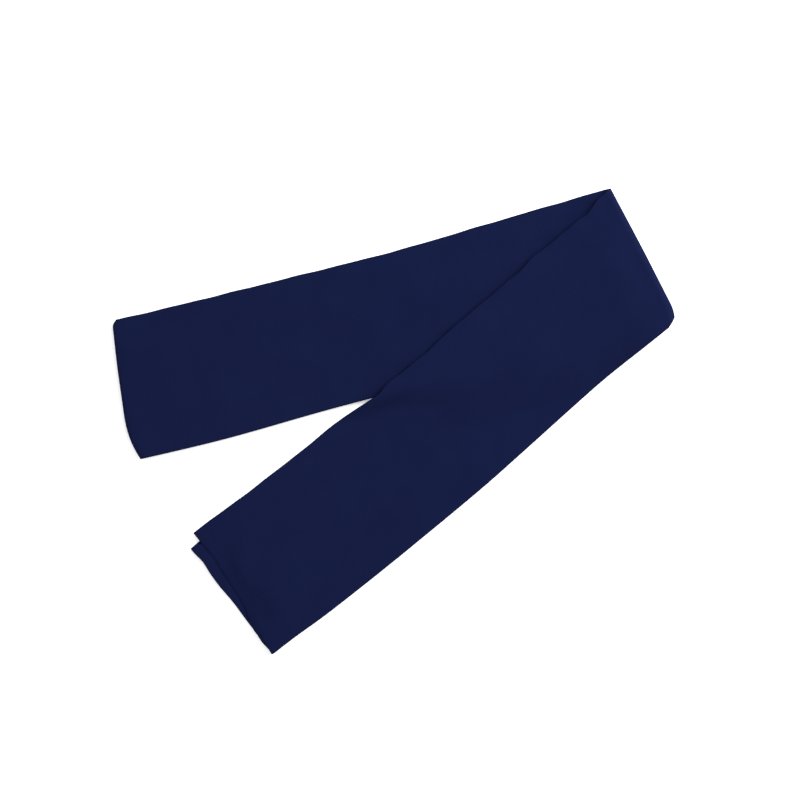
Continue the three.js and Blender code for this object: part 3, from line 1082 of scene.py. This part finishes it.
    def walls(self, back: Array) -> tuple[Array, Array]:
        """Half walls on the outer and the inner side of each row, with the hem and its sewn groove.

        The hem's second layer lies on the inner side and ends in a soft step. The groove, the roll near the
        end and the thinning towards it are bells in the distance from the end.

        Args:
            back: Each row's distance from its free end, or infinity.

        Returns:
            Both half walls by row, for all columns alike.
        """
        groove = self.groove_depth * bell(back, self.groove_at, self.groove_width)
        roll = self.end_roll * bell(back, self.roll_at, self.roll_at)
        thin = self.end_thin * bell(back, 0, self.thin_reach)
        outer = self.wall / 2 - groove + roll - thin
        inner = self.wall / 2 + self.hem_extra * fade(back, *self.hem_step) - groove - thin
        return outer[:, None, None], inner[:, None, None]

    def _cloth_place(self, grid: Array) -> Array:
        """Each point's place on the flat cloth: mean lengths measured along the rows and the columns.

        Args:
            grid: Points by row and column.

        Returns:
            Both coordinates of every point, in metres.
        """
        across = np.linalg.norm(np.diff(grid, axis=1), axis=-1).mean(axis=0)
        along = np.linalg.norm(np.diff(grid, axis=0), axis=-1).mean(axis=1)
        u, v = (np.concatenate([[0], np.cumsum(steps)]) * MM for steps in (across, along))
        return np.stack(np.meshgrid(u, v), axis=-1).reshape(-1, 2)

    def build(self) -> bpy.types.Object:
        """Make the cloth's closed mesh: its outer side, its inner side and a rounded rim at its four edges.

        Returns:
            The object, in metres, with the middle of its underside at the origin.
        """
        grid, back = self.middle_surface()
        outward = self._outward(grid)
        grid = self._pull_in_edges(grid)
        outer_wall, inner_wall = self.walls(back)
        outer = grid + outward * outer_wall
        inner = grid - outward * inner_wall
        rows, columns = grid.shape[:2]
        number = np.arange(rows * columns).reshape(rows, columns)
        round_trip = np.concatenate([number[:-1, 0], number[-1, :-1], number[:0:-1, -1], number[0, :0:-1]])
        rim = self._rim(grid, outer, inner, round_trip)
        points = np.concatenate([outer.reshape(-1, 3), inner.reshape(-1, 3), rim])
        points[:, 2] = np.where(points[:, 2] < self.floor_snap, 0.0, points[:, 2])
        low, high = points.min(axis=0), points.max(axis=0)
        self.centre = np.array([(low[0] + high[0]) / 2, (low[1] + high[1]) / 2, 0.0])
        points = (points - self.centre) * MM
        place = self._cloth_place(grid)
        place = np.concatenate([place, place, place[round_trip]])

        mesh = bpy.data.meshes.new("scarf_cloth_folded")
        mesh.from_pydata(points.tolist(), [], self._faces(number, round_trip).tolist())
        layer = mesh.uv_layers.new(name="cloth")
        corners = np.empty(len(mesh.loops), dtype=np.int64)
        mesh.loops.foreach_get("vertex_index", corners)
        layer.data.foreach_set("uv", place[corners].reshape(-1))
        mesh.update()
        mesh.shade_smooth()
        mesh.set_sharp_from_angle(angle=math.radians(self.sharp_angle))
        self.grid, self.back, self.outward = grid, back, outward
        LOG.info("cloth: %d rows, %d columns, %d faces", rows, columns, len(mesh.polygons))
        return into_scene("scarf_cloth_folded", mesh)

    @staticmethod
    def _faces(number: Array, round_trip: Array) -> Array:
        """The faces of the outer side, of the inner side turned round, and of both halves of the rim.

        Args:
            number: The outer points' numbers by row and column. The inner ones follow them.
            round_trip: The numbers of the points round the four edges. The rim's own points come last.

        Returns:
            Four points for each face.
        """
        total = number.size
        a, b, c, d = number[:-1, :-1], number[1:, :-1], number[1:, 1:], number[:-1, 1:]
        here, after = round_trip, np.roll(round_trip, -1)
        bead = 2 * total + np.arange(len(here))
        bead_after = np.roll(bead, -1)
        sides = (
            (a, d, c, b),
            (a + total, b + total, c + total, d + total),
            (here, after, bead_after, bead),
            (bead, bead_after, after + total, here + total),
        )
        return np.concatenate([np.stack(side, axis=-1).reshape(-1, 4) for side in sides])

    @staticmethod
    def _edge_ways(grid: Array) -> Array:
        """Directions out of the cloth at its four edges, from the neighbouring row or column.

        Args:
            grid: Points by row and column.

        Returns:
            A direction for each point, 0 away from the edges.
        """
        way = np.zeros_like(grid)
        for edge, near in ((0, 1), (-1, -2)):
            rows, columns = grid[edge] - grid[near], grid[:, edge] - grid[:, near]
            way[edge] += rows / np.linalg.norm(rows, axis=-1, keepdims=True)
            way[:, edge] += columns / np.linalg.norm(columns, axis=-1, keepdims=True)
        return way

    def _pull_in_edges(self, grid: Array) -> Array:
        """Move the four edges in by the depth of the rounded rim."""
        return grid - self._edge_ways(grid) * self.open_rim

    def _rim(self, grid: Array, outer: Array, inner: Array, round_trip: Array) -> Array:
        """The rim's middle line, which stands out from the edges of both sides of the cloth.

        Args:
            grid: The middle surface.
            outer: Its outer side.
            inner: Its inner side.
            round_trip: The numbers of the points round the four edges.

        Returns:
            The line's points.
        """
        way = self._edge_ways(grid)
        share = np.full((*grid.shape[:2], 1), 0.5)
        share[0] = self.end_rim
        return (mix(outer, inner, share) + way * self.open_rim).reshape(-1, 3)[round_trip]


@dataclass
class HemStitches:
    """The sewn line that holds the hem at each of the cloth's two short ends, as single stitches."""

    cloth: FoldedCloth
    length: float = 2.7
    gap: float = 0.9
    margin: float = 2.5  # left free at both of the cloth's long edges
    straightness: float = 0.97
    thick: float = 0.36
    flatness: float = 0.7
    sink: float = 0.13
    rings: int = 5
    sides: int = 6

    def build(self) -> bpy.types.Object:
        """Make every stitch of both ends and both sides of the cloth in one mesh.

        A stitch is a short rod along the row at the hem's groove. Its radius is the root of 1 less the fourth
        power of the place along it, so that both ends dive into the cloth.

        Returns:
            The object.
        """
        parts, faces = [], []
        count = 0
        for row, outer in self._lines():
            made_points, quads, triangles = self._rods(*self._along(row, outer))
            parts.append(made_points)
            faces += (quads + count).tolist() + (triangles + count).tolist()
            count += len(made_points)
        points = np.concatenate(parts)
        points[:, 2] = np.maximum(points[:, 2], 0)  # the cloth's weight presses the lowest ones flat
        mesh = bpy.data.meshes.new("hem_stitches")
        mesh.from_pydata(((points - self.cloth.centre) * MM).tolist(), [], faces)
        mesh.update()
        mesh.shade_smooth()
        LOG.info("hem stitches: %d faces", len(mesh.polygons))
        return into_scene("hem_stitches", mesh)

    def _lines(self) -> list[tuple[int, bool]]:
        """Find the two sewn lines, each on the outer and on the inner side of the cloth.

        Returns:
            The number of the grid's row, and whether it is the outer side, for each line.
        """
        off = np.abs(self.cloth.back - self.cloth.groove_at)
        half = len(off) // 2
        first, last = int(np.argmin(off[:half])), half + int(np.argmin(off[half:]))
        return [(first, True), (last, True), (first, False), (last, False)]

    @staticmethod
    def _sample(values: Array, length: Array, distance: Array) -> Array:
        """Points or directions of a line at distances along it, each coordinate by itself."""
        return np.stack([np.interp(distance, length, values[:, k]) for k in range(3)], axis=-1)

    def _along(self, row: int, outer: bool) -> tuple[Array, Array, Array]:
        """Place the stitches of one line at even distances along its row.

        Args:
            row: The number of the grid's row.
            outer: Whether the line is on the outer side.

        Returns:
            The stitches' middle points, directions and upward directions.
        """
        up = self.cloth.outward[row] / np.linalg.norm(self.cloth.outward[row], axis=-1, keepdims=True)
        outer_wall, inner_wall = self.cloth.walls(self.cloth.back[row : row + 1])
        up, wall = (up, outer_wall) if outer else (-up, inner_wall)
        line = self.cloth.grid[row] + up * (wall.item() - self.sink)
        length = np.concatenate([[0], np.cumsum(np.linalg.norm(np.diff(line, axis=0), axis=-1))])
        at = np.arange(self.margin, length[-1] - self.margin, self.length + self.gap)
        half = self.length / 2
        chord = self._sample(line, length, at + half) - self._sample(line, length, at - half)
        straight = np.linalg.norm(chord, axis=-1) > self.straightness * self.length
        at = at[straight]  # a stitch that would have to bend round the fold is left out
        ways = self._sample(line, length, at + 0.5) - self._sample(line, length, at - 0.5)
        ways = ways / np.linalg.norm(ways, axis=-1, keepdims=True)
        return self._sample(line, length, at), ways, self._sample(up, length, at)

    def _rods(self, centres: Array, ways: Array, ups: Array) -> tuple[Array, Array, Array]:
        """Closed rods about the given centres, with rings of points and a point at each end.

        Args:
            centres: The rods' middle points.
            ways: Their directions.
            ups: Their upward directions.

        Returns:
            The points, the four-sided faces of the sides and the triangles of the ends.
        """
        t = np.linspace(-1, 1, self.rings + 2)[1:-1]
        radius = self.thick / 2 * np.sqrt(1 - t**4)
        turn = np.linspace(0, 2 * np.pi, self.sides, endpoint=False)
        side = np.cross(ups, ways)
        side /= np.linalg.norm(side, axis=-1, keepdims=True)
        up = np.cross(ways, side)
        ring = (
            centres[:, None, None]
            + ways[:, None, None] * (t * self.length / 2)[None, :, None, None]
            + side[:, None, None] * (radius[:, None] * np.cos(turn))[None, :, :, None]
            + up[:, None, None] * (self.flatness * radius[:, None] * np.sin(turn))[None, :, :, None]
        )
        stitches = len(centres)
        tips = centres[:, None] + ways[:, None] * (np.array([-1, 1]) * self.length / 2)[None, :, None]
        own = self.rings * self.sides + 2
        points = np.concatenate([ring.reshape(stitches, -1, 3), tips], axis=1).reshape(-1, 3)
        k, m = np.arange(self.rings - 1)[:, None] * self.sides, np.arange(self.sides)[None]
        following = (m + 1) % self.sides
        above = k + self.sides
        quads = np.stack([k + m, k + following, above + following, above + m], axis=-1).reshape(-1, 4)
        m, following = m[0], following[0]
        last = (self.rings - 1) * self.sides
        start_tip, end_tip = np.full(self.sides, own - 2), np.full(self.sides, own - 1)
        start_cap = np.stack([following, m, start_tip], axis=-1)
        end_cap = np.stack([last + m, last + following, end_tip], axis=-1)
        caps = np.concatenate([start_cap, end_cap])
        first = np.arange(stitches)[:, None, None] * own
        return points, (quads + first).reshape(-1, 4), (caps + first).reshape(-1, 3)


@dataclass
class Studio:
    """The floor, the soft lights and the camera that looks straight down. Its sizes are in metres."""

    floor_size: float = 6.0
    floor_drop: float = 0.0004  # keeps the floor clear of the cloth's flat underside
    camera_height: float = 4.0
    view_width: float = 0.6846
    view_centre: tuple[float, float] = (0.0055, 0.0182)
    sensor: float = 36.0
    sky: float = 0.72
    key_power: float = 11.0
    key_size: float = 1.3
    key_spread: float = 70.0
    key_place: tuple[float, float, float] = (1.15, 0.95, 1.25)
    key_aim: tuple[float, float, float] = (0.12, 0.06, 0.0)

    def build(self) -> None:
        """Make the floor, the lights and the camera."""
        half, z = self.floor_size / 2, -self.floor_drop
        mesh = bpy.data.meshes.new("floor")
        corners = [(-half, -half, z), (half, -half, z), (half, half, z), (-half, half, z)]
        mesh.from_pydata(corners, [], [(0, 1, 2, 3)])
        mesh.materials.append(OpalPanel().material())
        into_scene("floor", mesh)

        world = bpy.data.worlds.new("studio")
        world.use_nodes = True
        background = world.node_tree.nodes["Background"]
        background.inputs["Color"].default_value = linear("#ffffff")
        background.inputs["Strength"].default_value = self.sky
        bpy.context.scene.world = world

        light = bpy.data.lights.new("key", "AREA")
        light.size = self.key_size
        light.energy = self.key_power
        light.spread = math.radians(self.key_spread)
        key = into_scene("key", light)
        key.location = self.key_place
        key.rotation_euler = self._aim(np.array(self.key_aim) - np.array(self.key_place))

        eye = bpy.data.cameras.new("camera")
        eye.sensor_width = self.sensor
        eye.lens = self.sensor * self.camera_height / self.view_width
        camera = into_scene("camera", eye)
        camera.location = (*self.view_centre, self.camera_height)
        bpy.context.scene.camera = camera
        bpy.context.scene.view_settings.view_transform = "Standard"
        LOG.info("studio: camera %.1f m above the floor", self.camera_height)

    @staticmethod
    def _aim(toward: Array) -> tuple[float, float, float]:
        """The turn that points a light's own down direction along a given one."""
        x, y, z = toward / np.linalg.norm(toward)
        return (math.acos(-z), 0.0, math.atan2(y, x) - math.pi / 2)


def write_sizes() -> None:
    """Define a helper that turns a box into plain lists of numbers; the helper is not called and nothing is
    written.
    """

    def plain(box: object) -> list[list[float]]:
        """A box as plain lists."""
        return [[float(v) for v in corner] for corner in box]


def main() -> None:
    """Build the scarf and its studio, in order."""
    logging.basicConfig(level=logging.INFO, format="%(message)s")
    Studio().build()

    cloth = FoldedCloth()
    scarf = cloth.build()
    scarf.data.materials.append(DyedCloth().material())
    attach(scarf, "root")
    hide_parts("scarf_cloth")

    stitches = HemStitches(cloth).build()
    stitches.data.materials.append(SewingThread().material())
    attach(stitches, "root")

    write_sizes()


if __name__ == "__main__":
    main()
